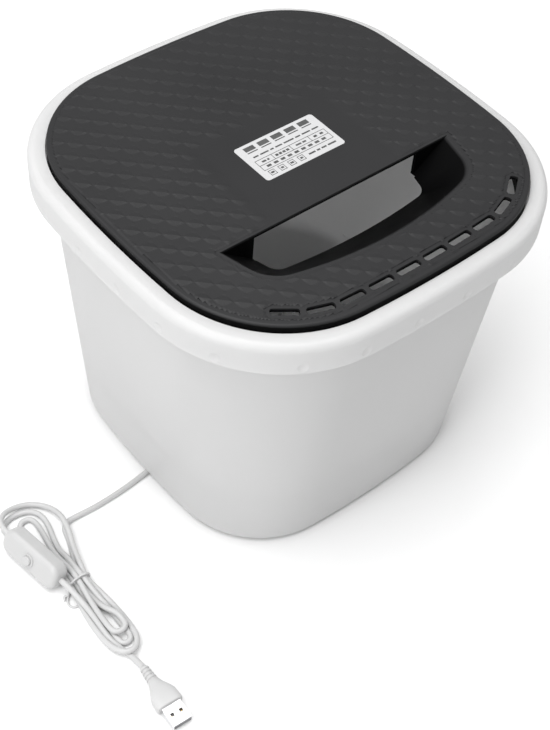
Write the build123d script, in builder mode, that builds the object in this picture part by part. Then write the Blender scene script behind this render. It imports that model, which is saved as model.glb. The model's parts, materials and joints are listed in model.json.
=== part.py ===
"""Square turbine-washing bucket with a dark lift-off lid, a motor under its floor and a USB lead.

+Z is up and z = 0 is the floor under the rubber feet. The hand-hold and the vents of the lid
are on the -Y side, and the lead leaves under the -X side. All sizes are in millimetres.
"""

from build123d import *
from math import atan2, cos, degrees, pi, radians, sin, sqrt, tan
import os

os.makedirs("parts", exist_ok=True)

# ---------------------------------------------------------------- driving dimensions
# Lid outline: four shallow side arcs joined by four tangent corner arcs.
lid_half = 118.0
lid_side_radius = 812.0
lid_corner_radius = 73.0
lid_top = 212.3
lid_plate = 2.5
lid_wall = 2.2
lid_foot = 201.8

# Tub: the wall widens from its lower edge to the neck under the rim.
base_half = 103.6
base_side_radius = 617.0
base_corner_radius = 59.4
wall_foot = 4.5
neck_half = 117.8
neck_height = 190.6
tub_wall = 2.2
floor_top = 46.0
floor_thickness = 2.5
floor_corner = 9.0

# Rim: a rolled collar round the mouth, hollow from below.
rim_reach = 11.0
rim_foot = 188.5
rim_crest = 207.6
rim_rounding = 4.6
rim_web = 2.3
ledge_height = 201.5
lid_gap = 0.8
dent_pitch = 34.9
dent_radius = 9.0
dent_depth = 0.6
dent_lift = 4.5

# Hand-hold: a scoop that narrows downwards, open on its far side under the plate.
# Each pair is the value at the lid's top and the value at the scoop's foot.
scoop_far_y = -43.0
scoop_far_half = (81.5, 58.0)
scoop_near_half = (74.0, 54.0)
scoop_near_y = (-73.0, -57.5)
scoop_middle_y = (-85.5, -61.5)
scoop_corner_radius = (23.0, 9.0)
scoop_depth = 18.0
scoop_wall = 2.0
scoop_window_half = 58.5

# Vents: a row of slots that follows the lid's edge.
vent_count = 10
vent_length = 15.4
vent_width = 4.6
vent_corner = 1.6
vent_pitch = 18.6
vent_inset = 9.5

# Drive train, all on the vertical axis through the origin.
shaft_radius = 2.0
running_gap = 0.03
motor_foot = 15.0
motor_top = 36.0
motor_radius = 18.0
impeller_radius = 58.0
impeller_foot = 51.0
vane_count = 6

# Base cover, feet and screws.
cover_foot = 9.5
cover_thickness = 2.2
foot_radius = 9.0
foot_spacing = 132.0
cover_screw_x = 82.0
cover_screw_y = 40.0
mount_screw_radius = 37.0

# Lead.
cord_diameter = 3.5
cord_floor = cord_diameter / 2


# ---------------------------------------------------------------- shared outlines
def corner_reach(half, side_radius, corner_radius):
    """Distance of a corner arc's centre from both middle planes."""
    set_back = side_radius - half
    return (sqrt(2 * (side_radius - corner_radius) ** 2 - set_back**2) - set_back) / 2


def rounded_square(half, side_radius, corner_radius):
    """Eight tangent arcs, drawn into the BuildLine in use."""
    set_back = side_radius - half
    reach = corner_reach(half, side_radius, corner_radius)
    half_side = degrees(atan2(reach, reach + set_back))
    for quarter in range(4):
        turn = 90 * quarter
        side_centre = Vector(0, -set_back).rotate(Axis.Z, turn)
        corner_centre = Vector(reach, reach).rotate(Axis.Z, turn)
        CenterArc(corner_centre, corner_radius, half_side + turn, 90 - 2 * half_side)
        CenterArc(side_centre, side_radius, 90 - half_side + turn, 2 * half_side)


def lid_outline(grow=0.0):
    """Outline of the lid, or of anything that runs parallel to its edge."""
    rounded_square(lid_half + grow, lid_side_radius + grow, lid_corner_radius + grow)


def wall_outline(height, inset=0.0):
    """Outline of the tub's drafted wall at a height, moved inwards by the inset."""
    share = (height - wall_foot) / (neck_height - wall_foot)
    rounded_square(
        base_half + share * (neck_half - base_half) - inset,
        base_side_radius + share * (lid_side_radius - base_side_radius) - inset,
        base_corner_radius + share * (lid_corner_radius - base_corner_radius) - inset,
    )


def edge_point(distance, inset):
    """Point, and heading in degrees, on the -Y edge of a line parallel to the lid's outline."""
    side_radius = lid_side_radius - inset
    corner_radius = lid_corner_radius - inset
    set_back = lid_side_radius - lid_half
    reach = corner_reach(lid_half, lid_side_radius, lid_corner_radius)
    half_side = atan2(reach, reach + set_back)
    side_length = side_radius * half_side
    run = abs(distance)
    if run <= side_length:
        angle = run / side_radius
        x, y = side_radius * sin(angle), set_back - side_radius * cos(angle)
    else:
        angle = half_side + (run - side_length) / corner_radius
        x, y = reach + corner_radius * sin(angle), -reach - corner_radius * cos(angle)
    side = 1 if distance >= 0 else -1
    return side * x, y, side * degrees(angle)


def finish(builder, label):
    """Name a finished piece and write it."""
    builder.part.label = label
    export_step(builder.part, f"parts/{label}.step")


# ---------------------------------------------------------------- tub
cover_screw_spots = [(sx * cover_screw_x, sy * cover_screw_y) for sx in (-1, 1) for sy in (-1, 1)]
mount_screw_spots = [
    (mount_screw_radius * cos(radians(45 + 90 * i)), mount_screw_radius * sin(radians(45 + 90 * i)))
    for i in range(4)
]
screw_pilot = 1.25
cover_post_radius = 4.5
mount_post_radius = 4.0
mount_thickness = 2.5
mount_top = motor_top + mount_thickness
bearing_seat_radius = 6.0
bearing_wall = 4.0
bearing_seat_foot = 38.5
collar_top = 49.5

# Inside of the tub, down to its floor, with a rounded foot.
with BuildPart() as tub_hollow:
    for height in (floor_top, rim_crest + 1):
        with BuildSketch(Plane.XY.offset(height)):
            with BuildLine():
                wall_outline(height, tub_wall)
            make_face()
    loft()
    fillet(tub_hollow.edges().group_by(Axis.Z)[0], floor_corner)

with BuildPart() as tub:
    # Outer wall up to the ledge, then the collar round the mouth.
    for height in (wall_foot, ledge_height):
        with BuildSketch(Plane.XY.offset(height)):
            with BuildLine():
                wall_outline(height)
            make_face()
    loft()
    with BuildSketch(Plane.XY.offset(rim_foot)):
        with BuildLine():
            lid_outline(rim_reach)
        make_face()
    extrude(amount=rim_crest - rim_foot)
    fillet(tub.edges().group_by(Axis.Z)[-1], rim_rounding)
    add(tub_hollow.part, mode=Mode.SUBTRACT)
    # Seat for the lid.
    with BuildSketch(Plane.XY.offset(ledge_height)):
        with BuildLine():
            lid_outline(lid_gap)
        make_face()
    extrude(amount=rim_crest, mode=Mode.SUBTRACT)
    # Channel under the rim.
    with BuildSketch(Plane.XY.offset(rim_foot)):
        with BuildLine():
            lid_outline(rim_reach - rim_web)
        make_face()
        with BuildLine():
            lid_outline(lid_gap + rim_web)
        make_face(mode=Mode.SUBTRACT)
    extrude(amount=rim_crest - rim_web - rim_foot, mode=Mode.SUBTRACT)
    # Hollow under the floor.
    ceiling = floor_top - floor_thickness
    for height in (wall_foot, ceiling):
        with BuildSketch(Plane.XY.offset(height)):
            with BuildLine():
                wall_outline(height, tub_wall)
            make_face()
    loft(mode=Mode.SUBTRACT)
    # Bearing seat with a raised collar, and posts for the screws.
    with BuildSketch(Plane.XY.offset(bearing_seat_foot)):
        Circle(bearing_seat_radius + bearing_wall)
    extrude(amount=collar_top - bearing_seat_foot)
    with BuildSketch(Plane.XY.offset(bearing_seat_foot)):
        Circle(bearing_seat_radius)
    extrude(amount=collar_top - bearing_seat_foot, mode=Mode.SUBTRACT)
    with BuildSketch(Plane.XY.offset(cover_foot + cover_thickness)):
        with Locations(*cover_screw_spots):
            Circle(cover_post_radius)
            Circle(screw_pilot, mode=Mode.SUBTRACT)
    extrude(amount=ceiling - cover_foot - cover_thickness)
    with BuildSketch(Plane.XY.offset(mount_top)):
        with Locations(*mount_screw_spots):
            Circle(mount_post_radius)
            Circle(screw_pilot, mode=Mode.SUBTRACT)
    extrude(amount=ceiling - mount_top)
    # Shallow dents where the ribs under the rim pull its outer face in.
    dent_run = [(i + 0.5) * dent_pitch for i in range(-3, 3)]
    for quarter in range(4):
        for distance in dent_run:
            x, y, heading = edge_point(distance, -rim_reach)
            outward = Vector(sin(radians(heading)), -cos(radians(heading)))
            spot = Vector(x, y) + outward * (dent_radius - dent_depth)
            spot = spot.rotate(Axis.Z, 90 * quarter)
            with Locations((spot.X, spot.Y, rim_foot + dent_lift)):
                Sphere(dent_radius, mode=Mode.SUBTRACT)
finish(tub, "tub")


# ---------------------------------------------------------------- lid and its label
def at_height(pair, height):
    """Value between the lid's top and the scoop's foot, from its values there."""
    share = (lid_top - height) / scoop_depth
    return pair[0] + share * (pair[1] - pair[0])


def scoop_lines(height, grow=0.0):
    """D-shaped outline of the scoop at a height: straight far side, slanting ends, bowed near side."""
    far_half = at_height(scoop_far_half, height) + grow
    near_half = at_height(scoop_near_half, height) + grow
    near_y = at_height(scoop_near_y, height) - grow
    middle_y = at_height(scoop_middle_y, height) - grow
    far_y = scoop_far_y + grow
    Line((-far_half, far_y), (far_half, far_y))
    Line((far_half, far_y), (near_half, near_y))
    ThreePointArc((near_half, near_y), (0, middle_y), (-near_half, near_y))
    Line((-near_half, near_y), (-far_half, far_y))


scoop_foot = lid_top - scoop_depth
scoop_overcut = 0.5
lip_inset = 4.0
lip_wall = 1.8
lip_foot = 196.5
lid_edge_radius = 1.4

with BuildPart() as lid:
    with BuildSketch(Plane.XY.offset(lid_foot)):
        with BuildLine():
            lid_outline()
        make_face()
    extrude(amount=lid_top - lid_foot)
    fillet(lid.edges().group_by(Axis.Z)[-1], lid_edge_radius)
    with BuildSketch(Plane.XY.offset(lid_foot)):
        with BuildLine():
            lid_outline(-lid_wall)
        make_face()
    extrude(amount=lid_top - lid_plate - lid_foot, mode=Mode.SUBTRACT)
    # Locating lip that drops into the mouth of the tub.
    with BuildSketch(Plane.XY.offset(lip_foot)):
        with BuildLine():
            lid_outline(-lip_inset)
        make_face()
        with BuildLine():
            lid_outline(-lip_inset - lip_wall)
        make_face(mode=Mode.SUBTRACT)
    extrude(amount=lid_top - lid_plate - lip_foot)
    # Scoop: its shell first, then its hollow.
    for height in (scoop_foot, lid_top - lid_plate):
        with BuildSketch(Plane.XY.offset(height)) as shell_section:
            with BuildLine():
                scoop_lines(height, scoop_wall)
            make_face()
            near_corners = shell_section.vertices().sort_by(Axis.Y)[:2]
            fillet(near_corners, at_height(scoop_corner_radius, height))
    loft()
    for height in (scoop_foot - scoop_overcut, lid_top + scoop_overcut):
        with BuildSketch(Plane.XY.offset(height)) as hollow_section:
            with BuildLine():
                scoop_lines(height)
            make_face()
            near_corners = hollow_section.vertices().sort_by(Axis.Y)[:2]
            fillet(near_corners, at_height(scoop_corner_radius, height))
    loft(mode=Mode.SUBTRACT)
    # The far side of the scoop is open between its two ends, under the plate.
    with Locations((0, scoop_far_y + scoop_wall / 2, scoop_foot)):
        Box(
            2 * scoop_window_half,
            3 * scoop_wall,
            lid_top - lid_plate - scoop_foot,
            align=(Align.CENTER, Align.CENTER, Align.MIN),
            mode=Mode.SUBTRACT,
        )
    # Vents.
    for index in range(vent_count):
        x, y, heading = edge_point((index - (vent_count - 1) / 2) * vent_pitch, vent_inset)
        with BuildSketch(Plane.XY.offset(lid_top - 2 * lid_plate)):
            with Locations(Location((x, y, 0), (0, 0, heading))):
                RectangleRounded(vent_length, vent_width, vent_corner)
        extrude(amount=3 * lid_plate, mode=Mode.SUBTRACT)
finish(lid, "lid")

label_width = 56.5
label_depth = 31.0
label_corner = 2.0
label_centre = (2.0, 0.8)
label_thickness = 0.2
with BuildPart() as rating_label:
    with BuildSketch(Plane.XY.offset(lid_top)):
        with Locations(label_centre):
            RectangleRounded(label_width, label_depth, label_corner)
    extrude(amount=label_thickness)
finish(rating_label, "rating_label")

# ---------------------------------------------------------------- base cover, feet and screws
gland_y = -4.0
gland_height = 16.4
gland_wall_x = -50.0
pocket_half_width = 12.0
pocket_top = 24.0
tunnel_end_x = -100.5
tunnel_wall = 2.0
tunnel_length = 60.0
gland_hole_radius = 3.2
cover_clearance = 0.5
foot_plug_radius = 3.0
board_post_radius = 2.5
board_post_height = 6.0
board_post_spots = [(x, y) for x in (36.0, 68.0) for y in (52.0, 76.0)]
screw_clearance = 0.35
screw_head_radius = 2.8
screw_head_height = 2.0
screw_slot_width = 0.7
screw_slot_depth = 0.9
cover_top = cover_foot + cover_thickness
foot_spots = [(sx * foot_spacing / 2, sy * foot_spacing / 2) for sx in (-1, 1) for sy in (-1, 1)]

with BuildPart() as base_cover:
    with BuildSketch(Plane.XY.offset(cover_foot)):
        with BuildLine():
            wall_outline(cover_foot, tub_wall + cover_clearance)
        make_face()
    extrude(amount=cover_thickness)
    # Tunnel for the lead, open downwards and towards the tub's wall.
    with Locations((gland_wall_x + tunnel_wall, gland_y, cover_foot)):
        Box(
            gland_wall_x + tunnel_wall - tunnel_end_x,
            2 * (pocket_half_width + tunnel_wall),
            pocket_top - cover_foot,
            align=(Align.MAX, Align.CENTER, Align.MIN),
        )
    with Locations((gland_wall_x, gland_y, cover_foot)):
        Box(
            tunnel_length,
            2 * pocket_half_width,
            pocket_top - tunnel_wall - cover_foot,
            align=(Align.MAX, Align.CENTER, Align.MIN),
            mode=Mode.SUBTRACT,
        )
    gland_plane = Plane(origin=(gland_wall_x, gland_y, gland_height), z_dir=(1, 0, 0))
    with BuildSketch(gland_plane):
        Circle(gland_hole_radius)
    extrude(amount=tunnel_wall, both=True, mode=Mode.SUBTRACT)
    # Sockets for the feet, screw holes and posts for the control board.
    with BuildSketch(Plane.XY.offset(cover_foot)):
        with Locations(*foot_spots):
            Circle(foot_plug_radius)
        with Locations(*cover_screw_spots):
            Circle(screw_pilot + screw_clearance)
    extrude(amount=cover_thickness, mode=Mode.SUBTRACT)
    with BuildSketch(Plane.XY.offset(cover_top)):
        with Locations(*board_post_spots):
            Circle(board_post_radius)
    extrude(amount=board_post_height)
finish(base_cover, "base_cover")

foot_taper = 0.8
foot_taper_height = 2.5
foot_barb = 0.8
foot_barb_height = 1.2
for index, spot in enumerate(foot_spots, start=1):
    with BuildPart() as rubber_foot:
        with BuildSketch():
            with Locations(spot):
                Circle(foot_radius - foot_taper)
        with BuildSketch(Plane.XY.offset(foot_taper_height)):
            with Locations(spot):
                Circle(foot_radius)
        loft()
        with BuildSketch(Plane.XY.offset(foot_taper_height)):
            with Locations(spot):
                Circle(foot_radius)
        extrude(amount=cover_foot - foot_taper_height)
        # Plug that snaps into the cover.
        with BuildSketch(Plane.XY.offset(cover_foot)):
            with Locations(spot):
                Circle(foot_plug_radius)
        extrude(amount=cover_thickness)
        with BuildSketch(Plane.XY.offset(cover_top)):
            with Locations(spot):
                Circle(foot_plug_radius + foot_barb)
        extrude(amount=foot_barb_height)
    finish(rubber_foot, f"rubber_foot_{index}")


def screw(spot, head_base, head_radius, shank_radius, shank_length):
    """Pan-head screw driven upwards: its head's underside is at head_base."""
    with BuildPart() as piece:
        with BuildSketch(Plane.XY.offset(head_base)):
            with Locations(spot):
                Circle(head_radius)
        extrude(amount=-screw_head_height)
        with BuildSketch(Plane.XY.offset(head_base - screw_head_height)):
            with Locations(spot):
                Rectangle(head_radius * 1.2, screw_slot_width)
                Rectangle(screw_slot_width, head_radius * 1.2)
        extrude(amount=screw_slot_depth, mode=Mode.SUBTRACT)
        with BuildSketch(Plane.XY.offset(head_base)):
            with Locations(spot):
                Circle(shank_radius)
        extrude(amount=shank_length)
    return piece


for index, spot in enumerate(cover_screw_spots, start=1):
    cover_screw = screw(spot, cover_foot, screw_head_radius, screw_pilot, 10)
    finish(cover_screw, f"cover_screw_{index}")

# ---------------------------------------------------------------- motor and its mount
mount_edge = 5.0
skirt_height = 12.0
skirt_wall = 2.0
mount_slot_radius = 27.0
mount_slot_count = 6
with BuildPart() as motor_mount:
    with BuildSketch(Plane.XY.offset(motor_top)):
        Circle(mount_screw_radius + mount_edge)
        Circle(bearing_seat_radius + 1, mode=Mode.SUBTRACT)
        with Locations(*mount_screw_spots):
            Circle(screw_pilot + screw_clearance, mode=Mode.SUBTRACT)
    extrude(amount=mount_thickness)
    # Skirt that holds the motor can.
    with BuildSketch(Plane.XY.offset(motor_top - skirt_height)):
        Circle(motor_radius + skirt_wall)
        Circle(motor_radius, mode=Mode.SUBTRACT)
    extrude(amount=skirt_height)
    # Cooling slots.
    with BuildSketch(Plane.XY.offset(motor_top)):
        with PolarLocations(mount_slot_radius, mount_slot_count, 15):
            SlotOverall(12, 5, rotation=90)
    extrude(amount=mount_thickness, mode=Mode.SUBTRACT)
finish(motor_mount, "motor_mount")

for index, spot in enumerate(mount_screw_spots, start=1):
    mount_screw = screw(spot, motor_top, 2.6, screw_pilot, 6.5)
    finish(mount_screw, f"mount_screw_{index}")

can_wall = 1.0
end_cap_height = 3.0
can_foot = motor_foot + end_cap_height
lower_bush_radius = 3.5
with BuildPart() as motor_can:
    with BuildSketch(Plane.XY.offset(can_foot)):
        Circle(motor_radius)
    extrude(amount=motor_top - can_foot)
    with BuildSketch(Plane.XY.offset(can_foot)):
        Circle(motor_radius - can_wall)
    extrude(amount=motor_top - can_foot - can_wall, mode=Mode.SUBTRACT)
    with BuildSketch(Plane.XY.offset(motor_top - can_wall)):
        Circle(4)
    extrude(amount=can_wall, mode=Mode.SUBTRACT)
finish(motor_can, "motor_can")

magnet_foot = can_foot + 2
magnet_length = 11.0
magnet_thickness = 2.6
for index, middle in enumerate((0, 180), start=1):
    with BuildPart() as magnet:
        with BuildSketch(Plane.XY.offset(magnet_foot)):
            Circle(motor_radius - can_wall)
            Circle(motor_radius - can_wall - magnet_thickness, mode=Mode.SUBTRACT)
            with Locations(Location((0, 0), 90 + middle)):
                Rectangle(80, 80, align=(Align.CENTER, Align.MAX), mode=Mode.SUBTRACT)
                with Locations((-40, 0), (40, 0)):
                    Rectangle(60, 20, mode=Mode.SUBTRACT)
        extrude(amount=magnet_length)
    finish(magnet, f"motor_magnet_{index}")

with BuildPart() as motor_end_cap:
    with BuildSketch(Plane.XY.offset(motor_foot)):
        Circle(motor_radius)
    extrude(amount=end_cap_height)
    with BuildSketch(Plane.XY.offset(motor_foot)):
        Circle(lower_bush_radius)
    extrude(amount=end_cap_height, mode=Mode.SUBTRACT)
    # Brush holders beside the commutator.
    with BuildSketch(Plane.XY.offset(can_foot)):
        with Locations((9, 0), (-9, 0)):
            Rectangle(5, 4)
    extrude(amount=3)
finish(motor_end_cap, "motor_end_cap")


def sleeve(height_from, height_to, outer, inner):
    """Plain ring on the drive axis."""
    with BuildPart() as ring:
        with BuildSketch(Plane.XY.offset(height_from)):
            Circle(outer)
            Circle(inner, mode=Mode.SUBTRACT)
        extrude(amount=height_to - height_from)
    return ring


seal_foot = 43.5
seal_top = 48.5
lower_bush = sleeve(motor_foot - 0.5, can_foot, lower_bush_radius, shaft_radius + running_gap)
finish(lower_bush, "lower_bush")
upper_bush = sleeve(bearing_seat_foot, seal_foot, bearing_seat_radius, shaft_radius + running_gap)
finish(upper_bush, "upper_bush")
shaft_seal = sleeve(seal_foot, seal_top, bearing_seat_radius, shaft_radius + 2 * running_gap)
finish(shaft_seal, "shaft_seal")

# ---------------------------------------------------------------- rotor and impeller
shaft_foot = motor_foot - 0.3
shaft_top = 61.0
with BuildPart() as drive_shaft:
    with BuildSketch(Plane.XY.offset(shaft_foot)):
        Circle(shaft_radius)
    extrude(amount=shaft_top - shaft_foot)
    chamfer(drive_shaft.edges().group_by(Axis.Z)[-1], 0.4)
finish(drive_shaft, "drive_shaft")

armature_radius = 13.6
commutator_radius = 4.6
with BuildPart() as armature:
    with BuildSketch(Plane.XY.offset(magnet_foot + 1)):
        Circle(armature_radius)
        with PolarLocations(9.6, 5):
            SlotOverall(9, 2.2, mode=Mode.SUBTRACT)
        Circle(shaft_radius, mode=Mode.SUBTRACT)
    extrude(amount=magnet_length - 1)
finish(armature, "armature")

with BuildPart() as commutator:
    with BuildSketch(Plane.XY.offset(can_foot + 0.3)):
        Circle(commutator_radius)
        with PolarLocations(commutator_radius, 3):
            Rectangle(1.6, 0.5, mode=Mode.SUBTRACT)
        Circle(shaft_radius, mode=Mode.SUBTRACT)
    extrude(amount=2.4)
finish(commutator, "commutator")

disc_thickness = 2.6
vane_height = 7.0
hub_height = 9.0
hub_radius = 13.0
with BuildPart() as impeller:
    with BuildSketch(Plane.XY.offset(impeller_foot)):
        Circle(impeller_radius)
    extrude(amount=disc_thickness)
    fillet(impeller.edges().group_by(Axis.Z)[-1], 1.0)
    # Hub, then curved vanes that die out towards the rim.
    with BuildSketch(Plane.XY.offset(impeller_foot)):
        Circle(hub_radius)
    extrude(amount=hub_height)
    fillet(impeller.edges().group_by(Axis.Z)[-1], 2)
    vane_foot = impeller_foot + disc_thickness - 0.5
    for index in range(vane_count):
        turn = 360 / vane_count * index
        with BuildSketch(Plane.XY.offset(vane_foot)):
            with BuildLine():
                root = Vector(9, 0).rotate(Axis.Z, turn)
                middle = Vector(30, 6).rotate(Axis.Z, turn)
                tip = Vector(52, -2).rotate(Axis.Z, turn)
                back_middle = Vector(30, 11).rotate(Axis.Z, turn)
                ThreePointArc(root, middle, tip)
                ThreePointArc(tip, back_middle, root)
            make_face()
        extrude(amount=vane_height)
    # Water holes between the vanes, and the bore on the shaft.
    with BuildSketch(Plane.XY.offset(impeller_foot)):
        for ring_radius, hole_radius in ((24, 2.0), (36, 2.5), (48, 2.5)):
            with PolarLocations(ring_radius, vane_count, 34):
                Circle(hole_radius)
    extrude(amount=disc_thickness, mode=Mode.SUBTRACT)
    with BuildSketch(Plane.XY.offset(impeller_foot)):
        Circle(shaft_radius)
    extrude(amount=hub_height, mode=Mode.SUBTRACT)
finish(impeller, "impeller")

cap_foot = impeller_foot + hub_height
nut_height = 4.0
nut_radius = 6.0
nut_dome_radius = 5.2
nut_dome_height = 2.2
with BuildPart() as impeller_nut:
    with BuildSketch(Plane.XY.offset(cap_foot)):
        RegularPolygon(nut_radius, 6)
    extrude(amount=nut_height)
    with BuildSketch(Plane.XY.offset(cap_foot + nut_height)):
        Circle(nut_dome_radius)
    extrude(amount=nut_dome_height)
    fillet(impeller_nut.edges().group_by(Axis.Z)[-1], 1.6)
    with BuildSketch(Plane.XY.offset(cap_foot)):
        Circle(shaft_radius)
    extrude(amount=shaft_top - cap_foot, mode=Mode.SUBTRACT)
finish(impeller_nut, "impeller_nut")

# ---------------------------------------------------------------- control board
board_foot = cover_top + board_post_height
board_thickness = 1.6
board_top = board_foot + board_thickness
board_centre = (52.0, 64.0)
chip_spot = (46.0, 62.0)
capacitor_spot = (60.0, 70.0)
terminal_spot = (42.0, 73.0)
terminal_height = 8.0
with BuildPart() as control_board:
    with BuildSketch(Plane.XY.offset(board_foot)):
        with Locations(board_centre):
            Rectangle(40, 32)
    extrude(amount=board_thickness)
finish(control_board, "control_board")

with BuildPart() as timer_chip:
    with BuildSketch(Plane.XY.offset(board_top)):
        with Locations(chip_spot):
            Rectangle(5, 4)
            with GridLocations(1.27, 5.2, 4, 2):
                Rectangle(0.4, 1.2)
    extrude(amount=1.5)
finish(timer_chip, "timer_chip")

with BuildPart() as board_capacitor:
    with BuildSketch(Plane.XY.offset(board_top)):
        with Locations(capacitor_spot):
            Circle(4)
    extrude(amount=9)
    fillet(board_capacitor.edges().group_by(Axis.Z)[-1], 0.5)
finish(board_capacitor, "board_capacitor")

with BuildPart() as board_terminal:
    with BuildSketch(Plane.XY.offset(board_top)):
        with Locations(terminal_spot):
            Rectangle(12, 7)
    extrude(amount=terminal_height)
    with BuildSketch(Plane.XY.offset(board_top + terminal_height)):
        with Locations(terminal_spot):
            with GridLocations(5, 0, 2, 1):
                Circle(1.6)
    extrude(amount=-3, mode=Mode.SUBTRACT)
finish(board_terminal, "board_terminal")

# ---------------------------------------------------------------- gland and the lead on the floor
gland_tip_x = -60.0
cord_radius = cord_diameter / 2
gland_outside = Plane(origin=(gland_wall_x, gland_y, gland_height), z_dir=(-1, 0, 0))
gland_inside = Plane(origin=(gland_wall_x + tunnel_wall, gland_y, gland_height), z_dir=(1, 0, 0))
gland_flange_radius = 5.0
gland_flange_thickness = 2.0
gland_sleeve_radius = (3.4, 2.6)
gland_nut_radius = 4.6
gland_nut_thickness = 3.0
with BuildPart() as cord_gland:
    with BuildSketch(gland_outside):
        Circle(gland_flange_radius)
    extrude(amount=gland_flange_thickness)
    with BuildSketch(gland_outside.offset(gland_flange_thickness)):
        Circle(gland_sleeve_radius[0])
    with BuildSketch(gland_outside.offset(gland_wall_x - gland_tip_x)):
        Circle(gland_sleeve_radius[1])
    loft()
    with BuildSketch(gland_outside):
        Circle(gland_hole_radius)
    extrude(amount=-tunnel_wall)
    with BuildSketch(gland_inside):
        RegularPolygon(gland_nut_radius, 6)
    extrude(amount=gland_nut_thickness)
finish(cord_gland, "cord_gland")


def cord_tube(label, points):
    """Tube of the cord's section along straight runs joined by tangent arcs as large as they fit."""
    route = [Vector(*point) for point in points]
    runs = [b - a for a, b in zip(route, route[1:])]
    radii = []
    for before, after in zip(runs, runs[1:]):
        turn = before.get_angle(after)
        radii.append(0.45 * min(before.length, after.length) / tan(radians(turn / 2)))
    with BuildPart() as tube:
        with BuildLine() as path:
            FilletPolyline(*route, radius=radii) if radii else Line(*route)
        with BuildSketch(Plane(origin=path.line @ 0, z_dir=path.line % 0)):
            Circle(cord_radius)
        sweep()
    length = sum(edge.length for edge in path.edges())
    share = tube.part.volume / (length * pi * cord_radius**2)
    print(label, "radii", [round(radius, 1) for radius in radii])
    print(label, "length", round(length, 1), "volume against section times length", round(share, 4))
    finish(tube, label)


cord_tube("cord_lead", [
    (gland_tip_x, gland_y, gland_height),
    (-69.5, -4.0, 16.2),
    (-82.5, -4.2, 9.4),
    (-95.0, -5.2, 2.4),
    (-109.0, -7.2, cord_floor),
    (-127.0, -9.0, cord_floor),
    (-146.0, -9.3, cord_floor),
    (-164.4, -7.0, cord_floor),
])

# ---------------------------------------------------------------- in-line switch
switch_along = Vector(0.15, -0.989, 0).normalized()
switch_tilt = radians(65)
switch_side = Vector(0, 0, 1).cross(switch_along) * -1
switch_out = switch_side * sin(switch_tilt) + Vector(0, 0, cos(switch_tilt))
switch_plane = Plane(origin=(-197.0, -22.5, 9.4), x_dir=switch_along, z_dir=switch_out)
switch_length = 46.0
switch_width = 17.0
switch_corner = 6.5
switch_rounding = 3.2
shell_depth = 6.0
shell_wall = 1.6
collar_radius = 4.6
collar_height = 0.6
button_radius = 3.0
button_gap = 0.15
button_stand = 2.0
button_travel = 1.2
button_foot = 2.4
button_flange_radius = 4.2
bench_height = 1.5


def switch_profile(inset=0.0):
    """Lozenge outline of the switch body in its own plane."""
    RectangleRounded(switch_length - 2 * inset, switch_width - 2 * inset, switch_corner - inset)


with BuildPart() as switch_cover:
    with BuildSketch(switch_plane):
        switch_profile()
    extrude(amount=shell_depth)
    fillet(switch_cover.faces().sort_by(Axis(switch_plane.origin, switch_out))[-1].edges(), switch_rounding)
    with BuildSketch(switch_plane):
        switch_profile(shell_wall)
    extrude(amount=shell_depth - shell_wall, mode=Mode.SUBTRACT)
    with BuildSketch(switch_plane.offset(shell_depth)):
        Circle(collar_radius)
    extrude(amount=collar_height)
    with BuildSketch(switch_plane):
        Circle(button_radius + button_gap)
    extrude(amount=shell_depth + collar_height, mode=Mode.SUBTRACT)
finish(switch_cover, "switch_cover")

with BuildPart() as switch_base:
    with BuildSketch(switch_plane):
        switch_profile()
    extrude(amount=-shell_depth)
    fillet(switch_base.faces().sort_by(Axis(switch_plane.origin, switch_out))[0].edges(), switch_rounding)
    with BuildSketch(switch_plane):
        switch_profile(shell_wall)
    extrude(amount=-shell_depth + shell_wall, mode=Mode.SUBTRACT)
    # Bench for the dome.
    with BuildSketch(switch_plane.offset(-shell_depth + shell_wall)):
        Rectangle(10, 10)
    extrude(amount=bench_height)
finish(switch_base, "switch_base")

with BuildPart() as switch_button:
    with BuildSketch(switch_plane.offset(button_foot)):
        Circle(button_radius)
    extrude(amount=shell_depth - button_foot + button_stand)
    fillet(switch_button.faces().sort_by(Axis(switch_plane.origin, switch_out))[-1].edges(), 0.6)
    with BuildSketch(switch_plane.offset(button_foot)):
        Circle(button_flange_radius)
    extrude(amount=1.2)
finish(switch_button, "switch_button")

dome_base = -shell_depth + shell_wall + bench_height
with BuildPart() as switch_dome:
    with BuildSketch(switch_plane.offset(dome_base)):
        Circle(4)
    with BuildSketch(switch_plane.offset(button_foot - button_travel - button_gap)):
        Circle(2)
    loft()
finish(switch_dome, "switch_dome")

for index, contact_x in enumerate((6.0, 12.0), start=1):
    with BuildPart() as contact:
        with BuildSketch(switch_plane.offset(-shell_depth + shell_wall)):
            with Locations((contact_x, 0)):
                Rectangle(1.0, 6)
        extrude(amount=5)
    finish(contact, f"switch_contact_{index}")

# ---------------------------------------------------------------- tied hank
hank_height = 9.0
upper_lobe_radius = 19.5
lower_lobe_radius = 9.6
waist_radius = 6.8
switch_angle = degrees(atan2(switch_along.Y, switch_along.X))
tie_band = 0.8
tie_x_range = (-190.8, -177.2)
tie_y_range = (-50.6, -48.4)
tie_centre_x = (tie_x_range[0] + tie_x_range[1]) / 2
tie_centre_y = (tie_y_range[0] + tie_y_range[1]) / 2
tie_width = tie_x_range[1] - tie_x_range[0]
tie_depth = tie_y_range[1] - tie_y_range[0]

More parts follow.
